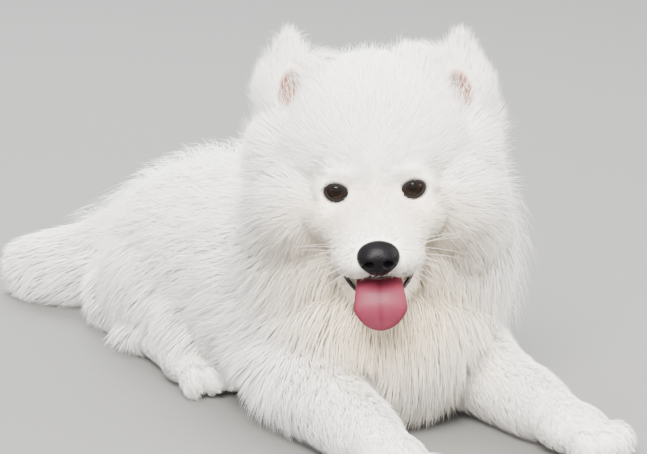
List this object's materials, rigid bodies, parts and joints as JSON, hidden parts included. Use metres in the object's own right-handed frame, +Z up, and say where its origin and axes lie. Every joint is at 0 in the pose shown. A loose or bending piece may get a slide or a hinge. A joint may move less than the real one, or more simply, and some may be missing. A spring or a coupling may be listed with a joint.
{
  "type": "samoyed puppy",
  "caption": "Fluffy white samoyed puppy lying on its belly, forelegs stretched forward, head up and turned, mouth open with the tongue out.",
  "frame": {"origin": "on the floor, at the middle of the flat of the breast on which the puppy rests", "axes": "+Z up, -Y the way the body faces, +X the puppy's left"},
  "size_m": [0.2138, 0.5985, 0.2671],
  "materials": {
    "coat": "long soft white fur",
    "jaw": "short white fur with a dark lip",
    "nose": "moist black leather",
    "eye": "wet and glossy",
    "tongue": "moist, slightly rough"
  },
  "bodies": {
    "root": {"head": "coat", "neck": "coat", "torso": "coat", "tail": "coat", "lower_jaw": "jaw", "tongue": "tongue", "nose": "nose", "eye_right": "eye", "ear_right": "coat", "foreleg_right": "coat", "forepaw_right": "coat", "hindleg_right": "coat", "hindpaw_right": "coat", "eye_left": "eye", "ear_left": "coat", "foreleg_left": "coat", "forepaw_left": "coat", "hindleg_left": "coat", "hindpaw_left": "coat"}
  },
  "joints": []
}
